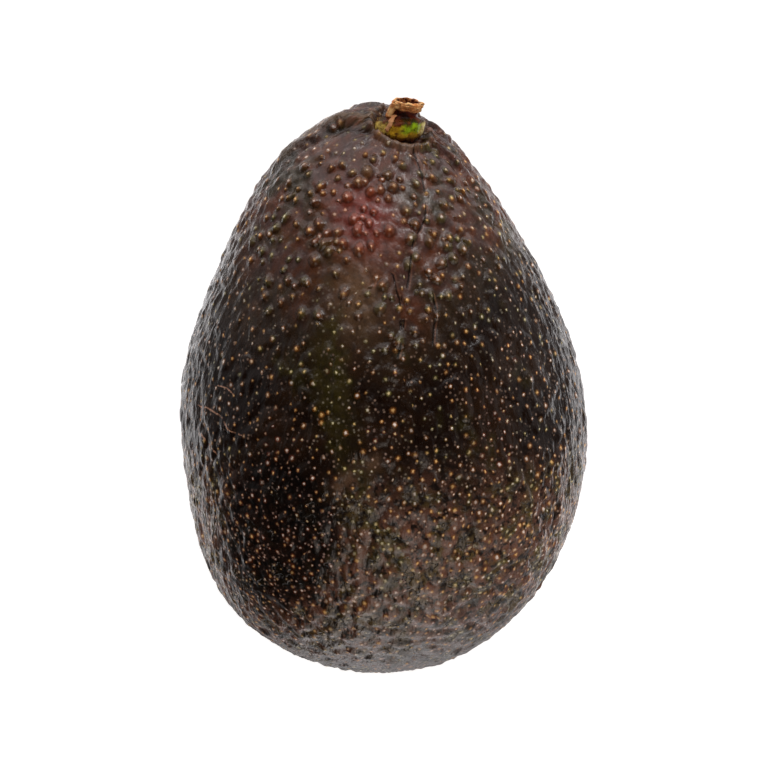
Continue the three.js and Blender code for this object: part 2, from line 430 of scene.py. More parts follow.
def bead_relief(skin):
    """Height of the beads, and how far each point is from the nearest bead's top."""
    strength = skin.stem_half * (0.55 + 0.45 * ramp(skin.noise(8.0, 21.0), -0.45, 0.25))
    strength = strength * mix(0.4, 1.0, skin.turned_up)
    reach, size, bead = beads_on(skin, skin.plain[:PEBBLES], BEAD_RADIUS, 4)
    strength = strength * (draw(bead, 5) < 0.92)
    small_reach, small_size, _ = beads_on(skin, skin.plain[small_bead_sites()], SMALL_BEAD_RADIUS, 14)
    height = (0.45 + 0.55 * size) * dome(reach)
    height = np.maximum(height, 0.7 * (0.45 + 0.55 * small_size) * dome(small_reach))
    nearest = np.minimum(np.minimum(reach, small_reach), NO_BEAD)
    return BEAD_RISE * strength * height, mix(NO_BEAD, nearest, ramp(strength, 0.1, 0.8))


def lobe_relief(skin):
    """Height of lobes, ripples and the long bumps on the flanks, and a mask of the creases between lobes
    that paints shade into the skin's colour.
    """
    place = skin.plain + 1.8 * skin.warp
    lobes = np.abs(noise_at(place, LOBE_WIDTH, 11.0, (1, 1.3, 1))) / 0.4
    ridges = noise_at(place, RIDGE_WIDTH, 55.0, (1, 3.0, 1)) / 0.4
    _, first, second = nearest_two(tree_of(skin.plain[:PEBBLES]), skin.plain + 0.9 * skin.warp)
    humps = 1 - np.clip(first / second, 0, 1) ** 2
    ripples = noise_at(place, RIPPLE_WIDTH, 5.0, (1, 1.4, 1))
    calm = 0.6 + 0.4 * ramp(skin.noise(9.0, 71.0), -0.35, 0.35)
    low = ramp(-skin.along, 0.05, 0.4)
    turned_away = 1 - skin.turned_up
    front = mix(mix(0.8, 0.35, skin.stem_half), 1.0, low)
    lobe_share = mix(front, 0.28, turned_away) * calm
    ridge_share = mix(0.3 + 0.5 * low, 1.3, turned_away) * mix(1.0, 0.7, skin.neck)
    hump_share = mix(mix(0.5, 1.1, low), 0.4, turned_away) * mix(1.0, 0.9, skin.stem_half)
    height = LOBE_RISE * lobe_share * (np.minimum(lobes, 1.5) ** 0.7 - 0.7)
    height += RIDGE_RISE * ridge_share * ridges
    height += HUMP_RISE * hump_share * (humps - 0.5) + RIPPLE_RISE * (0.4 + 0.9 * low) * ripples
    crease_shade = np.exp(-((lobes / 0.16) ** 2)) * lobe_share
    return height, crease_shade


def around_stem(points):
    """Distance from the stem's axis, and the angle round it."""
    foot, turn = stem_frame()
    local = (points - foot) @ np.array(turn.to_matrix())
    return np.hypot(local[:, 0], local[:, 2]), np.arctan2(local[:, 2], local[:, 0])


def stem_frame():
    """Where the stem stands on the skin, and the way it points."""
    foot = skin_points(STEM_PLACE[None])[0]
    axis = tipped(np.array(STEM_AXIS)[None])[0]
    return foot, Vector((0, 1, 0)).rotation_difference(Vector(axis))


def wrinkle_relief(skin):
    """Height of the folds that run out from the stem, their reach, the crevice at its foot (whose mask also
    paints shade into the skin's colour), and the lip at its foot.
    """
    distance, angle = around_stem(skin.plain)
    distance = np.where(skin.along > 0, distance, np.inf)
    front = ramp(np.sin(angle), 0.1, 0.8)
    wander = skin.noise(5.0, 9.0)
    waves = np.sin(WRINKLES * angle + 3.0 * wander)
    waves = waves + 0.7 * np.sin(WRINKLES // 2 * angle + 4.0 * wander + 1.0)
    start = ramp(distance, 3.6, 5.2)
    reach = start * (1 - ramp(distance, 6.0, 12.0))
    far_reach = start * (1 - ramp(distance, 8.0, 24.0))
    crevice_and_shade = np.exp(-(((distance - COLLAR_RADIUS) / 0.5) ** 2)) * (1 - 0.8 * front)
    lumps = 0.65 + 0.7 * skin.noise(1.5, 91.0) + 0.9 * front
    lip = np.exp(-(((distance - COLLAR_RADIUS - mix(1.0, 0.6, front)) / 0.65) ** 2)) * lumps
    aside = 1 - 0.6 * front
    height = WRINKLE_RISE * waves * far_reach * aside + LIP_RISE * lip - CREVICE_DEPTH * crevice_and_shade
    return height, reach * aside, crevice_and_shade, lip


def choose_dots(skin):
    """Vertices that carry a pale dot, in clusters, none nearer to another than the local spacing."""
    index = np.arange(len(skin.plain))
    spacing = mix(*DOT_SPACING, ramp(-skin.along, -0.25, 0.3))
    cluster = ramp(skin.noise(2.1, 83.0, (1, 1.6, 1)), -0.35, 0.35)
    spacing = spacing * (1.58 - 0.6 * cluster + 0.4 * (draw(index, 6) - 0.5) + 0.3 * skin.blossom_end)
    small_site = np.isin(index, small_bead_sites())
    spacing = np.where((index < PEBBLES) | small_site, np.minimum(spacing, SITE_DOT_SPACING), spacing)
    order = np.argsort(draw(index, 8) - 4.0 * (index < PEBBLES) - 2.0 * small_site, kind="stable")
    homes = np.floor(skin.plain / DOT_CELL).astype(int)
    steps = [(x, y, z) for x in (-1, 0, 1) for y in (-1, 0, 1) for z in (-1, 0, 1)]
    cells = {}
    chosen = []
    for number in order:
        x, y, z = homes[number]
        near = [other for dx, dy, dz in steps for other in cells.get((x + dx, y + dy, z + dz), ())]
        if near:
            offsets = skin.plain[near] - skin.plain[number]
            if (offsets**2).sum(axis=1).min() < spacing[number] ** 2:
                continue
        cells.setdefault((x, y, z), []).append(number)
        chosen.append(number)
    return np.array(chosen)


def make_skin():
    skin = Skin()
    relief, crease_shade = lobe_relief(skin)
    beads, bead_reach = bead_relief(skin)
    waves, wrinkled, stem_crevice_shade, lip = wrinkle_relief(skin)
    stem_distance, stem_angle = around_stem(skin.plain)
    groove_side = skin.side(GROOVES, 0.6)
    groove = skin.near(groove_side, 0.5) * ramp(skin.noise(2.4, 37.0), -0.25, 0.2)
    scratch_side = skin.side(SCRATCHES, 0.3)
    scratch = skin.near(scratch_side, 0.6) * ramp(skin.noise(1.6, 53.0), -0.25, 0.15)
    fold = skin.near(skin.side([SHOULDER_FOLD]), 0.9)
    under_fold = skin.near(skin.side([[(x, y - 1.6) for x, y in SHOULDER_FOLD]]), 0.8)
    smear = skin.near(skin.side([SMEAR]), 1.1)
    pit = np.max([skin.mark(place, PIT_SIZE) for place in PITS], axis=0)
    rough = skin.noise(0.7, 2.0)
    blossom = np.exp(-((angle_to(skin.ball, BLOSSOM_PLACE) / BLOSSOM_SPREAD) ** 2))

    patches = skin.noise(6.0, 17.0, (1, 1.8, 1))
    mottle = skin.noise(2.2, 27.0)
    dark = ramp(skin.mark(*DARK_FLANK) + 0.15 * mottle, 0.2, 0.55)

    relief = relief + beads
    for share, place in ((0.6, wrinkled), (0.7, pit), (0.8, fold), (0.35, dark)):
        relief = relief * (1 - share * place)
    relief = relief + waves
    relief += (
        FOLD_RISE * fold - UNDER_FOLD_DEPTH * under_fold - GROOVE_DEPTH * groove
        + pit * (0.3 * rough - PIT_DEPTH) - BLOSSOM_DEPTH * blossom
    )
    points = skin_points(skin.ball, relief)
    points[:, 2] = np.maximum(points[:, 2], 0)

    dots = choose_dots(skin)
    dot, dot_distance, _ = nearest_two(tree_of(skin.plain[dots]), skin.plain)
    # The dots on the beads' tops are their pale lenticels, made larger and brighter as painted highlights.
    on_bead = (skin.stem_half[dots] * (dots < SITES))[dot]
    plain_radius = mix(*DOT_RADIUS, draw(dot, 9) ** 2)
    plain_radius = plain_radius * mix(mix(1.05, 1.18, ramp(-skin.along, 0.1, 0.4)), 0.95, dark)
    green = skin.mark(*OLIVE_STREAK) * ramp(patches + 0.5 * mottle, -0.25, 0.35)
    green = np.maximum(green, 0.8 * ramp(patches + 0.35 * mottle, 0.3, 0.7))
    low = ramp(-skin.along + 0.1 * patches, 0.05, 0.45)
    glow = (mix(0.35, 0.6, low) + mix(0.65, 0.4, low) * draw(dot, 11)) * (1 - 0.4 * skin.blossom_end)
    glow = mix(glow * mix(1.0, 0.4, skin.neck), 0.35 + 0.6 * draw(dot, 11) ** 1.5, on_bead)
    # Painted shade: the skin is darkened in the crevice at the stem's foot, under the shoulder fold, in the
    # creases between lobes, along the grooves and beside the stem.
    crevice_and_shade = 0.2 * groove + stem_crevice_shade + 0.7 * under_fold + 0.8 * crease_shade + skin.mark(*SHADOW_BY_STEM)
    values = {
        "dot_distance": np.minimum(dot_distance, 3),
        "dot_radius": mix(plain_radius, mix(*BEAD_DOT_AND_HIGHLIGHT_RADIUS, draw(dot, 9)), on_bead),
        "dot_tone": draw(dot, 10),
        "dot_glow": glow * (1 - 0.8 * wrinkled),
        "bead": bead_reach,
        "green": np.clip(np.maximum(green, 0.4 * fold), 0, 1),
        "blush": skin.mark(*BLUSH),
        "neck": skin.neck,
        # painted sheen on the middle patch and painted highlight along the shoulder fold's ridge; the real
        # smudge and the lip round the stem are lighter too
        "sheen_and_pale": np.max([skin.mark(*SHEEN_PATCH), 0.7 * smear, np.clip(lip, 0, 1), fold], axis=0),
        "specks": mix(mix(0.45, 0.15, skin.neck), 0.75, low) * (1 - 0.5 * skin.blossom_end),
        "low": low * (1 - 0.72 * skin.blossom_end),
        "dark": dark,
        "flank": 1 - skin.turned_up,
        "smooth": skin.neck * skin.turned_up,
        "folded": wrinkled,
        "stem_right": np.cos(stem_angle),
        "stem_front": np.sin(stem_angle),
        "stem_distance": np.minimum(stem_distance, 30),
        "scar": np.maximum(pit * ramp(rough, -0.1, 0.5), ramp(blossom + 0.2 * rough, 0.55, 0.8)),
        "scratch": scratch,
        "scratch_side": np.clip(scratch_side, -3, 3),
        "groove": groove,
        "groove_side": np.clip(groove_side, -3, 3),
        "crevice_and_shade": np.clip(crevice_and_shade, 0, 1),
    }
    fruit = new_mesh("skin", points, skin.triangles.tolist(), values, skin_material())
    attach(fruit, "root")
    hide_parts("fruit")


def add_object(name, data):
    made = bpy.data.objects.new(name, data)
    bpy.context.scene.collection.objects.link(made)
    return made


def new_mesh(name, points, faces, values, material):
    """A smooth mesh from points in mm, with the numbers that its material reads at each."""
    mesh = bpy.data.meshes.new(name)
    mesh.from_pydata((points * MM).tolist(), [], faces)
    for label, numbers in values.items():
        layer = mesh.attributes.new(label, "FLOAT", "POINT")
        layer.data.foreach_set("value", np.asarray(numbers, np.float32))
    mesh.materials.append(material)
    mesh.shade_smooth()
    mesh.update()
    return add_object(name, mesh)


# --- materials ---


class Nodes:
    """Short ways to lay out the nodes of a material or of the world."""

    def __init__(self, block):
        block.use_nodes = True
        self.block = block
        self.tree = block.node_tree

    def feed(self, socket, value):
        if isinstance(value, bpy.types.NodeSocket):
            self.tree.links.new(value, socket)
        elif isinstance(value, tuple) and socket.type == "RGBA":
            socket.default_value = (*value, 1)
        else:
            socket.default_value = value

    def node(self, kind, inputs, **settings):
        made = self.tree.nodes.new(f"ShaderNode{kind}")
        for label, value in settings.items():
            setattr(made, label, value)
        for label, value in inputs.items():
            self.feed(made.inputs[label], value)
        return made

    def finish(self, shader, inputs):
        """Feeds the inputs of the tree's own shader, and gives back the material or the world."""
        for label, value in inputs.items():
            self.feed(self.tree.nodes[shader].inputs[label], value)
        return self.block

    def value(self, label, factor=None):
        """What the mesh has under that name, times a factor."""
        found = self.node("Attribute", {}, attribute_name=label).outputs["Fac"]
        return found if factor is None else self.times(found, factor)

    def maths(self, operation, first, second=0.0):
        return self.node("Math", {0: first, 1: second}, operation=operation).outputs[0]

    def times(self, first, second):
        return self.maths("MULTIPLY", first, second)

    def ramp(self, value, low, high, out_low=0.0, out_high=1.0):
        inputs = {"Value": value, "From Min": low, "From Max": high, "To Min": out_low, "To Max": out_high}
        return self.node("MapRange", inputs, interpolation_type="SMOOTHSTEP").outputs[0]

    def fall(self, value, low, high):
        return self.ramp(value, low, high, 1.0, 0.0)

    def blend(self, share, first, second):
        inputs = {0: share, 6: first, 7: second}
        return self.node("Mix", inputs, data_type="RGBA").outputs[2]

    def noise(self, size_mm, detail=2.0, roughness=0.5, stretch=(1, 1, 1), coordinates=None):
        coordinates = coordinates or self.node("TexCoord", {}).outputs["Object"]
        shares = [1 / share for share in stretch]
        scaled = self.node("Mapping", {"Vector": coordinates, "Scale": shares}).outputs[0]
        inputs = {"Vector": scaled, "Scale": 1 / (size_mm * MM), "Detail": detail, "Roughness": roughness}
        return self.node("TexNoise", inputs).outputs["Fac"]

    def specks(self, spacing_mm):
        """Distance in mm to the nearest of many scattered places, and that place's number from 0 to 1."""
        place = self.node("TexCoord", {}).outputs["Object"]
        made = self.node("TexVoronoi", {"Vector": place, "Scale": 1 / (spacing_mm * MM)})
        number = self.node("SeparateColor", {0: made.outputs["Color"]}).outputs[0]
        return self.times(made.outputs["Distance"], spacing_mm), number

    def line(self, label, place_mm, width_mm):
        """1 on a line at a given distance from a marked one, as far as that one's own strength goes."""
        offset = self.maths("ABSOLUTE", self.maths("SUBTRACT", self.value(f"{label}_side"), place_mm))
        across = self.fall(offset, 0.3 * width_mm, width_mm)
        return self.times(across, self.ramp(self.value(label), 0.05, 0.4))

    def bump(self, height, distance_mm, strength, below=None):
        inputs = {"Distance": distance_mm * MM, "Strength": strength, "Height": height}
        if below is not None:
            inputs["Normal"] = below
        return self.node("Bump", inputs).outputs["Normal"]


SKIN_BLACK = (0.0018, 0.0006, 0.0003)
SKIN_DARK = (0.0085, 0.0028, 0.001)
SKIN_BROWN = (0.021, 0.0088, 0.0036)
SKIN_NECK = (0.102, 0.031, 0.014)
SKIN_MAUVE = (0.076, 0.034, 0.027)
SKIN_DUSKY = (0.042, 0.028, 0.013)
SKIN_OLIVE = (0.042, 0.034, 0.006)
SKIN_LOW = (0.175, 0.077, 0.05)
SKIN_LOW_DARK = (0.011, 0.005, 0.003)
SKIN_LOW_OLIVE = (0.115, 0.074, 0.026)
SKIN_PALE_AND_SHEEN = (0.16, 0.088, 0.05)
SKIN_BLUSH = (0.2, 0.033, 0.024)
BEAD_BROWN = (0.08, 0.029, 0.01)
BEAD_OLIVE = (0.072, 0.056, 0.018)
BEAD_RED = (0.26, 0.048, 0.02)
# painted shade at the beads' feet
BEAD_FOOT_SHADE = (0.022, 0.008, 0.004)
GLOW_ORANGE = (0.36, 0.12, 0.018)
GLOW_GREEN = (0.14, 0.12, 0.02)
GLOW_RED = (0.28, 0.05, 0.028)
DOT_PALE = (0.95, 0.82, 0.72)
DOT_GOLD = (0.9, 0.54, 0.2)
DOT_GREEN = (0.75, 0.64, 0.34)
# pinkish white: the dots in the blush, partly a painted highlight on the red beads' tops
BLUSH_DOT_AND_HIGHLIGHT = (0.8, 0.42, 0.36)
SCAR_PALE = (0.3, 0.13, 0.075)
SCRATCH_PALE = (0.62, 0.32, 0.2)
# painted highlight on the crests of the folds round the stem
STREAK_HIGHLIGHT = (0.24, 0.095, 0.06)
STREAK_SIZE = 0.14  # radians round the stem
STREAK_LENGTH = 24.0  # mm outward for each radian of that
TINY_SPACING = 0.85  # mm between the smallest specks


def skin_material():
    made = Nodes(bpy.data.materials.new("avocado_skin"))
    broad = made.noise(7.0, 3.0, 0.55, (1, 1.4, 1))
    patches = made.noise(3.5, 2.0, 0.5, (1, 1.3, 1))
    fine = made.noise(1.4, 3.0, 0.6)
    speckle = made.noise(0.45, 2.0, 0.6)

    neck = made.blend(made.ramp(patches, 0.42, 0.6), SKIN_NECK, SKIN_MAUVE)
    neck = made.blend(made.ramp(broad, 0.5, 0.66), neck, SKIN_DUSKY)
    neck = made.blend(made.ramp(made.value("neck"), 0.35, 0.95, 0.75, 0.0), neck, SKIN_DUSKY)
    low = made.blend(made.ramp(patches, 0.46, 0.62), SKIN_LOW, SKIN_LOW_OLIVE)
    low = made.blend(made.ramp(fine, 0.48, 0.61), low, SKIN_LOW_DARK)
    tone = made.blend(made.ramp(broad, 0.42, 0.64), SKIN_DARK, SKIN_BROWN)
    for label, share, colour in (
        ("neck", 0.95, neck),
        ("low", 0.9, low),
        # painted sheen and highlight, and pale marks
        ("sheen_and_pale", 0.8, SKIN_PALE_AND_SHEEN),
        ("green", 0.65, SKIN_OLIVE),
        ("blush", 0.85, SKIN_BLUSH),
    ):
        tone = made.blend(made.value(label, share), tone, colour)
    tone = made.blend(made.ramp(fine, 0.4, 0.75, 0.0, 0.5), tone, SKIN_DARK)
    tone = made.blend(made.value("dark", 0.9), tone, SKIN_BLACK)

    # short cracks low down, painted dark as shade, and streaks that run out from the stem, painted dark in
    # their troughs as shade and pale on their crests as highlight
    crack = made.maths("ABSOLUTE", made.maths("SUBTRACT", made.noise(2.6), 0.5))
    crack = made.times(made.fall(crack, 0.004, 0.024), made.ramp(patches, 0.52, 0.6))
    crack = made.times(crack, made.value("low"))
    tone = made.blend(made.times(crack, 0.85), tone, SKIN_BLACK)
    places = [made.value(label) for label in ("stem_right", "stem_front", "stem_distance")]
    outward = made.node("CombineXYZ", dict(enumerate(places))).outputs[0]
    streaks = made.noise(STREAK_SIZE / MM, 2.0, 0.6, (1, 1, STREAK_LENGTH), outward)
    folded = made.value("folded")
    tone = made.blend(made.times(made.ramp(streaks, 0.4, 0.52, 0.75, 0.0), folded), tone, SKIN_DARK)
    tone = made.blend(made.times(made.ramp(streaks, 0.56, 0.68, 0.0, 0.6), folded), tone, STREAK_HIGHLIGHT)

    # beads: a deeper colour than the skin between them, with painted shade darkening them towards their
    # feet
    bead = made.value("bead")
    on_bead = made.fall(bead, 0.75, 1.15)
    bead_tone = made.blend(made.ramp(patches, 0.4, 0.6), BEAD_BROWN, BEAD_OLIVE)
    bead_tone = made.blend(made.value("blush"), bead_tone, BEAD_RED)
    bead_tone = made.blend(made.ramp(bead, 0.5, 1.0), bead_tone, BEAD_FOOT_SHADE)
    tone = made.blend(made.times(on_bead, 0.7), tone, bead_tone)

    # dots: a glow of colour in the skin with a pale speck in its middle; on the beads' tops the speck is
    # larger and partly a painted highlight
    wobble = made.times(made.maths("SUBTRACT", speckle, 0.5), 0.25)
    distance = made.maths("ADD", made.value("dot_distance"), wobble)
    size = made.maths("DIVIDE", distance, made.value("dot_radius"))
    strength = made.value("dot_glow")
    greenness = made.maths("ADD", patches, made.value("green", 0.25))
    glow = made.blend(made.ramp(greenness, 0.47, 0.6), GLOW_ORANGE, GLOW_GREEN)
    redness = made.maths("MAXIMUM", made.value("blush"), made.ramp(broad, 0.54, 0.66, 0.0, 0.85))
    redness = made.maths("MAXIMUM", redness, made.value("dark", 0.6))
    glow = made.blend(redness, glow, GLOW_RED)
    halo = made.times(made.fall(size, 0.7, 2.3), strength)
    tone = made.blend(made.times(halo, 0.75), tone, glow)
    speck = made.blend(made.ramp(made.value("dot_tone"), 0.3, 0.6), DOT_PALE, DOT_GOLD)
    speck = made.blend(made.ramp(greenness, 0.54, 0.66, 0.0, 0.8), speck, DOT_GREEN)
    speck = made.blend(made.value("blush"), speck, BLUSH_DOT_AND_HIGHLIGHT)
    core = made.times(made.fall(size, 0.3, 1.35), strength)
    tone = made.blend(core, tone, speck)

    # many more specks, too small to count
    tiny, number = made.specks(TINY_SPACING)
    tiny = made.times(made.fall(tiny, 0.1, 0.3), made.ramp(number, 0.2, 1.0, 0.1, 0.95))
    tiny = made.times(tiny, made.value("specks"))
    tone = made.blend(tiny, tone, made.blend(0.35, glow, DOT_PALE))

    tone = made.blend(made.value("scar", 0.8), tone, SCAR_PALE)
    scratch = made.times(made.line("scratch", 0.0, 0.18), made.ramp(speckle, 0.4, 0.54, 0.3, 1.0))
    # grooves: a dark line painted along their floor as shade, and a faint pale line beside it
    groove = made.line("groove", 0.0, 0.15)
    tone = made.blend(made.times(scratch, 0.85), tone, SCRATCH_PALE)
    tone = made.blend(made.times(made.line("groove", 0.4, 0.18), 0.3), tone, SCAR_PALE)
    tone = made.blend(made.times(groove, 0.75), tone, SKIN_BLACK)
    # painted shade in crevices, creases and grooves
    tone = made.blend(made.value("crevice_and_shade", 0.8), tone, SKIN_BLACK)

    gloss = made.ramp(made.maths("ADD", fine, made.times(speckle, 0.5)), 0.4, 1.1, 0.22, 0.39)
    rougher = made.times(made.maths("MAXIMUM", made.value("scar"), core), 0.15)
    gloss = made.maths("SUBTRACT", made.maths("ADD", gloss, rougher), made.times(on_bead, 0.08))

    smooth = made.maths("MAXIMUM", made.value("dark"), made.value("smooth"))
    calm = made.ramp(smooth, 0.0, 1.0, 1.0, 0.45)
    calm = made.times(calm, made.ramp(made.value("low"), 0.0, 1.0, 1.0, 1.4))
    grain = made.times(made.noise(0.9, 2.0, 0.5, (1, 2.8, 1)), calm)
    strands = made.times(made.noise(0.5, 2.0, 0.5, (1, 4.0, 1)), made.value("flank"))
    normal = None
    for height, rise_mm, weight in (
        (made.fall(bead, 0.0, 1.1), 0.25, 1.0),
        (grain, 0.26, 0.8),
        (strands, 0.3, 0.9),
        (made.times(streaks, folded), 0.8, 0.9),
        (made.maths("SUBTRACT", 1.0, crack), 0.2, 0.8),
        (made.fall(size, 0.0, 1.6), 0.08, 0.8),
        (made.maths("SUBTRACT", 1.0, groove), 0.2, 0.8),
        (speckle, 0.05, 0.6),
    ):
        normal = made.bump(height, rise_mm, weight, normal)
    return made.finish("Principled BSDF", {
        "Base Color": tone,
        "Roughness": gloss,
        "IOR": 1.45,
        "Coat Weight": 0.3,
        "Coat Roughness": 0.12,
        "Normal": normal,
        "Coat Normal": normal,
    })


# --- the stem ---

STEM_SIDES = 170
STEM_STEPS = 120
COLLAR_LOBES = [(0.045, 5, 0.6), (0.03, 9, 2.1)]
RIM_FLUTES = [(0.04, 3, 0.5), (0.03, 8, 1.9)]
COLLAR_SHEAR = 0.22  # lifts the collar's right side
FRONT_SHEAR = 0.11  # lifts the front of the neck and rim
NECK_STRETCH = 0.5
RIM_SQUASH = 0.4  # shortens the rim
RIM_SHEAR = 0.14  # lifts the rim's right side
COLLAR_SHIFT = -0.35  # sideways from the stem's axis
NECK_SHIFT = 0.35
# Dried flaps on the stub. A path is points down a flap's middle: the angle round the stub in degrees (90
# faces the camera, 180 is the picture's left), the height, and the distance from the axis.
THIN_FLAP = [
    (133, 3.1, 2.2), (126, 2.8, 3.1), (120, 2.5, 3.9), (116, 2.0, 4.25), (119, 1.5, 4.3), (116, 1.0, 4.3)
]
THICK_FLAP = [(140, 4.7, 2.2), (150, 4.2, 2.45), (158, 3.6, 2.55), (160, 3.0, 2.5), (155, 2.6, 2.5)]
FLAPS = [
    {"path": THIN_FLAP, "width": 1.0, "thick": 0.35, "dull": 1.0},
    {"path": THICK_FLAP, "width": 2.0, "thick": 1.1, "dull": 0.0},
]
FLAP_STEPS = 26
FLAP_SIDES = 14


def waves(terms, angle):
    return sum(size * np.sin(count * angle + start) for size, count, start in terms)


def stem_section():
    """Half section of the stub from its root up: radius, and height above the skin."""
    insets = [(1.1, -STEM_SUNK), (0.6, -1.2), (0.2, -0.3), (0.15, 0.6), (0.15, 1.5)]
    insets += [(0.3, COLLAR_HEIGHT - 0.4), (0.8, COLLAR_HEIGHT)]
    above = [(NECK_RADIUS + 0.3, 0.15), (NECK_RADIUS - 0.25, 0.4), (NECK_RADIUS - 0.4, 0.8)]
    above += [(NECK_RADIUS - 0.25, 1.1), (RIM_RADIUS - 0.55, 1.3), (RIM_RADIUS - 0.5, 2.0)]
    return np.array([
        (0, -STEM_SUNK),
        *[(COLLAR_RADIUS - inset, height) for inset, height in insets],
        *[(radius, COLLAR_HEIGHT + rise) for radius, rise in above],
        (RIM_RADIUS - 0.45, COLLAR_HEIGHT + 2.7),
        (LIP_RADIUS - 0.2, STEM_HEIGHT),
        (HOLLOW_RADIUS, STEM_HEIGHT - 0.1),
        (HOLLOW_RADIUS - 0.1, STEM_HEIGHT - HOLLOW_DEPTH),
        (0, STEM_HEIGHT - HOLLOW_DEPTH - 0.2),
    ])


def smooth_section():
    """The same section with its corners eased, as evenly spaced steps without its two ends."""
    corners = stem_section()
    length = np.concatenate([[0], np.cumsum(np.linalg.norm(np.diff(corners, axis=0), axis=1))])
    steps = np.linspace(0, length[-1], STEM_STEPS)
    section = np.stack([np.interp(steps, length, corners[:, axis]) for axis in (0, 1)], -1)
    for _ in range(5):
        section[1:-1] = 0.25 * section[:-2] + 0.5 * section[1:-1] + 0.25 * section[2:]
    return section[1:-1]


def at_angle(radius, height, angle):
    """A point of the stem's own frame, whose axis is Y."""
    return np.stack(np.broadcast_arrays(radius * np.cos(angle), height, radius * np.sin(angle)), -1)


def tube_faces(rows, columns):
    """Faces of a tube of rows rings with columns points each, closed by one face at either end."""
    ring = np.arange(columns)
    after = (ring + 1) % columns
    faces = []
    for low in range(0, (rows - 1) * columns, columns):
        high = low + columns
        faces += np.stack([low + ring, high + ring, high + after, low + after], -1).tolist()
    return [*faces, after[::-1].tolist(), ((rows - 1) * columns + ring).tolist()]


def stub():
    """The stub as a lathed tube: its points, faces, and what its material reads."""
    section = smooth_section()
    angle = 2 * np.pi * np.arange(STEM_SIDES) / STEM_SIDES
    radius, around = np.meshgrid(section[:, 0], angle, indexing="ij")
    height = np.repeat(section[:, 1:2], STEM_SIDES, axis=1)
    step = np.repeat(np.arange(len(section))[:, None], STEM_SIDES, axis=1) / len(section)
    inside = ramp(step, 0.795, 0.84)
    place = at_angle(radius, height, around).reshape(-1, 3)

    def grain(size, seed, *stretch):
        return noise_at(place, size, seed, stretch).reshape(radius.shape)

    rough = grain(1.1, 4.0, 1, 1, 1)
    fibre = grain(0.4, 8.0, 1, 4, 1)
    pleat = grain(1.2, 14.0, 1, 5, 1)
    torn_edge = grain(0.9, 24.0, 1, 6, 1)
    folds = grain(0.8, 64.0, 2.2, 1, 2.2)

    above_collar = ramp(height, COLLAR_HEIGHT - 0.1, COLLAR_HEIGHT + 0.5)
    on_collar = ramp(height, -0.8, 0.2) * (1 - above_collar)
    at_rim = ramp(height, STEM_HEIGHT - 1.1, STEM_HEIGHT - 0.1)
    in_rim = ramp(height + 0.2 * rough, COLLAR_HEIGHT + 1.05, COLLAR_HEIGHT + 1.3)
    bands = np.abs(np.sin(3.4 * height - 1.6 * np.cos(around - 0.4) + 1.2 * rough + 2.2 * folds))

    spread = 1 + on_collar * waves(COLLAR_LOBES, around) + in_rim * waves(RIM_FLUTES, around)
    bulge = on_collar * (0.4 * pleat + 0.15 * rough)
    bulge = bulge + in_rim * (0.22 * (bands - 0.5) + 0.25 * rough + 0.15 * fibre)
    bulge = bulge + above_collar * (0.03 * fibre + 0.12 * pleat)
    corner = np.exp(-((np.sin((around - 0.25) / 2) / 0.13) ** 2)) * in_rim * ramp(height, 4.4, 5.0)
    radius = np.maximum(radius * spread + (bulge + 0.5 * corner) * (1 - inside), 0.01)
    height = height + at_rim * (0.3 * torn_edge + 0.12 * rough) + inside * 0.12 * rough
    values = {
        "height": height,
        "collar": on_collar,
        "torn": in_rim,
        "inside": inside,
        "layer": bands,
        "leaf_green": ramp(np.cos(around - 0.95), 0.75, 0.97) * ramp(height + 0.5 * rough, 0.4, 1.3),
        "pale": np.exp(-(((around - 0.22 - 0.04 * rough) / 0.13) ** 2)) * on_collar,
        "left": ramp(-np.cos(around), 0.3, 0.75) * on_collar,
    }
    values = {name: part.reshape(-1) for name, part in values.items()}
    points = at_angle(radius, height, around).reshape(-1, 3)
    return points, tube_faces(len(section), STEM_SIDES), values


def leant(points):
    """The stub's own crookedness: its collar level in the picture, its neck a little to the right."""
    x, y, z = points.T
    in_rim = ramp(y, 4.2, STEM_HEIGHT)
    lifted = COLLAR_SHEAR * x * ramp(y, -2.0, 0.0) * (1 - ramp(y, 2.8, 3.8))
    lifted += FRONT_SHEAR * z * ramp(y, 1.5, 3.0) * (1 - in_rim)
    lifted += RIM_SHEAR * x * in_rim
    stretched = NECK_STRETCH * ramp(y, COLLAR_HEIGHT, COLLAR_HEIGHT + 1.2) - RIM_SQUASH * in_rim
    return np.stack([x + COLLAR_SHIFT + NECK_SHIFT * ramp(y, 1.8, 3.4), y + lifted + stretched, z], -1)


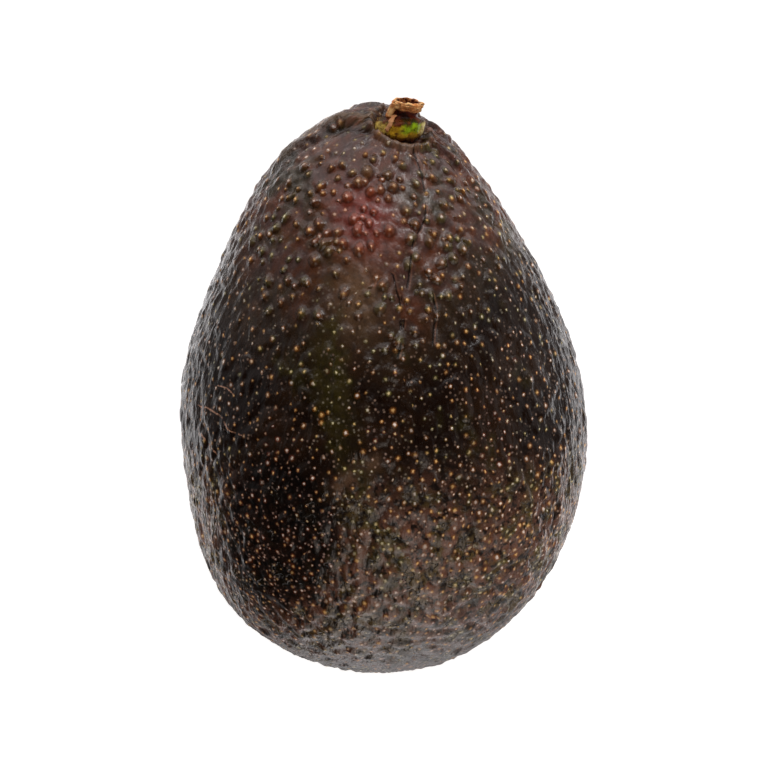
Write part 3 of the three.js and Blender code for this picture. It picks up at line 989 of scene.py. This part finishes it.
def flap(shape, number):
    """A thin curled flap that hangs down the stub, as a closed tube with a flat section."""
    knots = np.array(shape["path"], float)
    steps = np.linspace(0, len(knots) - 1, FLAP_STEPS)
    degrees, height, out = (np.interp(steps, np.arange(len(knots)), column) for column in knots.T)
    share = steps / steps[-1]
    turn = 2 * np.pi * np.arange(FLAP_SIDES) / FLAP_SIDES
    taper = (0.55 + 0.45 * np.sin(np.pi * (0.25 + 0.7 * share))) * (1 - 0.5 * ramp(share, 0.85, 1.0))
    wander = noise_at(np.stack([2 * steps, 0 * steps + number, 0 * steps], -1), 1.1)
    half_width = shape["width"] / 2 * taper * (1 + 0.5 * wander)
    across = half_width[:, None] * np.cos(turn) + 0.12 * wander[:, None]
    through = shape["thick"] / 2 * np.sin(turn) * (1 - 0.4 * ramp(share, 0.8, 1.0))[:, None]
    curl = 0.7 * (across / shape["width"]) ** 2
    radius = out[:, None] + through - curl + 0.1 * np.sin(9 * share + number)[:, None]
    angle = np.radians(degrees)[:, None] + across / out[:, None]
    points = at_angle(radius, height[:, None], angle).reshape(-1, 3)
    fold = 0.6 + 0.4 * np.sin(7 * across / shape["width"] + 5 * share[:, None])
    values = {
        "height": points[:, 1],
        "torn": np.ones(len(points)),
        "layer": fold.reshape(-1),
        "dull": np.full(len(points), shape["dull"]),
    }
    return points, tube_faces(FLAP_STEPS, FLAP_SIDES), values


def make_stem():
    parts = [stub()] + [flap(shape, number) for number, shape in enumerate(FLAPS)]
    labels = {label for part in parts for label in part[2]}
    points = np.concatenate([part[0] for part in parts])
    values = {
        label: np.concatenate([part[2].get(label, np.zeros(len(part[0]))) for part in parts])
        for label in sorted(labels)
    }
    faces, first = [], 0
    for part_points, part_faces, _ in parts:
        faces += [[first + corner for corner in face] for face in part_faces]
        first += len(part_points)
    foot, turn = stem_frame()
    points = leant(points) @ np.array(turn.to_matrix()).T + foot
    stem = new_mesh("stub", points, faces, values, stem_material())
    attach(stem, "root")
    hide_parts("stem")


LEAF_GREEN = (0.24, 0.36, 0.008)
LEAF_GOLD = (0.42, 0.23, 0.014)
LEAF_OLIVE = (0.56, 0.39, 0.09)
LEAF_PALE = (0.78, 0.68, 0.3)
BARK_STAIN = (0.075, 0.022, 0.006)
NECK_DARK_AND_SHADE = (0.012, 0.002, 0.001)
NECK_RED = (0.08, 0.01, 0.004)
DRY_TAN = (0.8, 0.47, 0.2)
DRY_ORANGE = (0.58, 0.22, 0.07)
DRY_DULL = (0.3, 0.12, 0.055)
DRY_DARK = (0.06, 0.014, 0.006)
HOLLOW_RED = (0.05, 0.006, 0.003)


def stem_material():
    made = Nodes(bpy.data.materials.new("avocado_stem"))
    blotch = made.noise(1.5, 3.0, 0.6)
    stain = made.noise(0.8, 3.0, 0.6)
    grain = made.noise(0.35, 3.0, 0.6, (1, 3, 1))
    fine = made.noise(0.16, 2.0, 0.6)

    leaf = made.blend(made.value("leaf_green"), LEAF_GOLD, LEAF_GREEN)
    leaf = made.blend(made.value("left"), leaf, LEAF_OLIVE)
    leaf = made.blend(made.ramp(stain, 0.52, 0.66, 0.0, 0.85), leaf, BARK_STAIN)
    leaf = made.blend(made.value("pale", 0.85), leaf, LEAF_PALE)
    ragged = made.maths("ADD", made.value("height"), made.times(blotch, 1.6))
    leaf = made.blend(made.ramp(ragged, 0.2, 1.6, 0.9, 0.0), leaf, BARK_STAIN)
    # the neck under the torn rim: dark red-brown blotches, the darkest partly painted shadow from the rim
    neck = made.blend(made.ramp(blotch, 0.42, 0.62), NECK_DARK_AND_SHADE, NECK_RED)
    leaf = made.blend(made.ramp(ragged, 2.55, 3.1, 0.0, 0.95), leaf, neck)
    dry = made.blend(made.ramp(blotch, 0.44, 0.58), DRY_TAN, DRY_ORANGE)
    dry = made.blend(made.value("dull", 0.8), dry, DRY_DULL)
    seams = made.maths("ADD", made.value("layer"), made.times(grain, 0.5))
    dry = made.blend(made.ramp(seams, 0.28, 0.54, 0.85, 0.0), dry, DRY_DARK)
    hollow = made.blend(made.ramp(grain, 0.45, 0.7, 0.0, 0.6), HOLLOW_RED, DRY_ORANGE)
    tone = made.blend(made.value("collar"), neck, leaf)
    tone = made.blend(made.value("torn"), tone, dry)
    tone = made.blend(made.value("inside"), tone, hollow)

    gloss = made.ramp(made.value("torn"), 0.0, 1.0, 0.2, 0.45)
    gloss = made.maths("ADD", gloss, made.value("collar", 0.1))
    normal = None
    heights = (blotch, 0.3, 0.7), (stain, 0.25, 0.8), (grain, 0.16, 0.9), (fine, 0.05, 0.8)
    for height, rise_mm, weight in heights:
        normal = made.bump(height, rise_mm, weight, normal)
    return made.finish("Principled BSDF", {
        "Base Color": tone,
        "Roughness": made.maths("ADD", gloss, made.ramp(fine, 0.3, 0.7, -0.05, 0.08)),
        "IOR": 1.34,
        "Specular IOR Level": 0.2,
        "Normal": normal,
    })


# --- floor, light and camera ---

FLOOR_SIZE = 6.0  # m
FLOOR_TONES = ((0.84, 0.84, 0.84), (0.88, 0.88, 0.88))
FLOOR_GLOW = 0.8


def make_floor():
    mesh = bpy.data.meshes.new("floor")
    half = FLOOR_SIZE / 2
    corners = [(-half, -half, 0), (half, -half, 0), (half, half, 0), (-half, half, 0)]
    mesh.from_pydata(corners, [], [(0, 1, 2, 3)])
    floor = add_object("floor", mesh)
    made = Nodes(bpy.data.materials.new("pale_floor"))
    mesh.materials.append(made.finish("Principled BSDF", {
        "Base Color": made.blend(made.noise(40.0), *FLOOR_TONES),
        "Roughness": 0.9,
        "Specular IOR Level": 0.1,
        "Emission Color": (1, 1, 1),
        "Emission Strength": FLOOR_GLOW,
    }))
    floor.visible_glossy = False


# The studio that the skin mirrors, by its directions' shares of right, up and towards the camera.
DARK_ROOM = 0.005
SIDE_WALLS = {"level": 0.2, "out": (0.6, 1.0), "up": (-0.3, 0.0)}
UPPER_PANEL = {"level": 0.92, "up": (0.3, 0.52), "rise": 0.2}
LOWER_PANEL = {"level": 1.4, "down": (0.38, 0.7), "left": (-0.33, -0.19), "right": (0.2, 0.6)}
BACKDROP = {"level": 1.6, "away": (0.42, 0.8), "up": (0.05, 0.55), "down": (0.0, 0.45)}
PATCHINESS = {"size": 0.3, "range": (0.55, 1.45)}
COOL_LIGHT = (1.0, 0.975, 0.99)
WARM_LIGHT = (1.08, 0.96, 0.87)
KEY_DISTANCE = 1100  # mm
KEY_SIZE = (0.5, 0.4)  # m
KEY_POWER = 5.0  # W
GLINT_SIZE = (0.16, 0.12)
GLINT_POWER = 2.2


def make_world():
    made = Nodes(bpy.data.worlds.new("studio"))
    bpy.context.scene.world = made.block
    direction = made.node("TexCoord", {}).outputs["Generated"]

    def share(way):
        return made.node("VectorMath", {0: direction, 1: way}, operation="DOT_PRODUCT").outputs["Value"]

    across, up, towards = share((1, 0, 0)), share(PICTURE_UP), share(TOWARDS_CAMERA)
    aside, down, away = made.maths("ABSOLUTE", across), made.times(up, -1.0), made.times(towards, -1.0)
    raised = made.maths("SUBTRACT", up, made.times(aside, UPPER_PANEL["rise"]))
    upper = made.ramp(raised, *UPPER_PANEL["up"], 0.0, UPPER_PANEL["level"])
    upper = made.times(upper, made.ramp(towards, -0.6, -0.1, 0.78, 1.0))
    lower = made.ramp(down, *LOWER_PANEL["down"], 0.0, LOWER_PANEL["level"])
    lower = made.times(lower, made.ramp(across, *LOWER_PANEL["left"]))
    lower = made.times(lower, made.ramp(across, *LOWER_PANEL["right"], 1.0, 0.3))
    back = made.ramp(away, *BACKDROP["away"], 0.0, BACKDROP["level"])
    back = made.times(back, made.ramp(up, *BACKDROP["up"], 1.0, 0.36))
    back = made.times(back, made.ramp(down, *BACKDROP["down"], 1.0, 0.3))
    walls = made.ramp(aside, *SIDE_WALLS["out"], DARK_ROOM, SIDE_WALLS["level"])
    walls = made.times(walls, made.ramp(up, *SIDE_WALLS["up"], 0.1, 1.0))
    level = upper
    for other in (lower, back, walls):
        level = made.maths("MAXIMUM", level, other)
    uneven = made.noise(PATCHINESS["size"] / MM, 1.0, coordinates=direction)
    level = made.times(level, made.ramp(uneven, 0.3, 0.7, *PATCHINESS["range"]))
    looking = made.node("LightPath", {}).outputs["Is Camera Ray"]
    warmth = made.times(made.ramp(down, 0.1, 0.5), made.ramp(towards, -0.5, -0.1))
    made.finish("Background", {
        "Strength": made.maths("MAXIMUM", level, looking),
        "Color": made.blend(warmth, COOL_LIGHT, WARM_LIGHT),
    })


def soft_light(name, place, size, power, glossy=True):
    """A lamp that faces the fruit, unseen by the camera; glossy lets it show in reflections."""
    lamp = bpy.data.lights.new(name, "AREA")
    lamp.shape = "RECTANGLE"
    lamp.size, lamp.size_y = size
    lamp.energy = power
    made = add_object(name, lamp)
    made.location = place
    made.rotation_euler = (AIM * MM - place).to_track_quat("-Z", "Y").to_euler()
    made.visible_camera = False
    made.visible_glossy = glossy


def make_lights():
    towards_key = TOWARDS_CAMERA * 0.6 + PICTURE_UP * 0.75 + Vector((0.28, 0, 0))
    place = (AIM + towards_key * KEY_DISTANCE) * MM
    soft_light("key", place, KEY_SIZE, KEY_POWER, glossy=False)
    soft_light("glint", place, GLINT_SIZE, GLINT_POWER)


def make_camera():
    camera = bpy.data.cameras.new("camera")
    camera.sensor_width = SENSOR_WIDTH
    camera.lens = SENSOR_WIDTH * CAMERA_DISTANCE / FIELD_WIDTH
    camera.clip_start = 0.01
    made = add_object("camera", camera)
    made.location = (AIM + TOWARDS_CAMERA * CAMERA_DISTANCE) * MM
    across = PICTURE_UP.cross(TOWARDS_CAMERA)
    made.rotation_euler = Matrix((across, PICTURE_UP, TOWARDS_CAMERA)).transposed().to_euler()
    bpy.context.scene.camera = made


make_camera()
make_skin()
make_stem()
make_floor()
make_world()
make_lights()
bpy.context.scene.view_settings.view_transform = "Standard"
